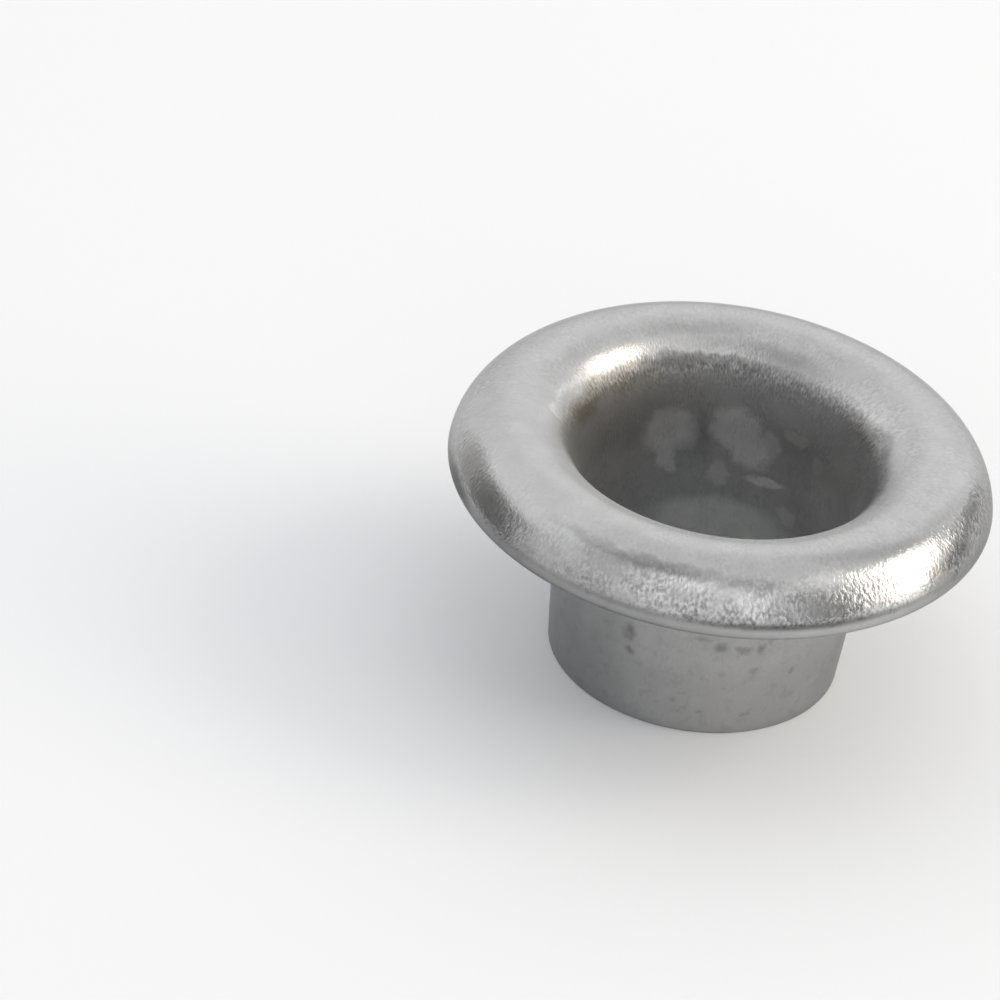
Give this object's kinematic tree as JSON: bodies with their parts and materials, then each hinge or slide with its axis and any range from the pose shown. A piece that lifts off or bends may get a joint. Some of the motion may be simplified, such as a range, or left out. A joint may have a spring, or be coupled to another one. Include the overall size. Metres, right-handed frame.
{
  "type": "eyelet",
  "caption": "One-piece drawn metal eyelet: straight barrel flaring through a throat bend into a round rolled flange with a curled-down lip.",
  "frame": {"origin": "centre of the barrel's end face, which the eyelet stands on", "axes": "+Z along the eyelet's axis, from the barrel's end towards the flange; X and Y are free, because the part is a body of revolution"},
  "size_m": [0.01, 0.01, 0.0049],
  "materials": {
    "nickel_plate": "satin nickel plate over drawn sheet"
  },
  "bodies": {
    "root": {"eyelet": "nickel_plate"}
  },
  "joints": []
}
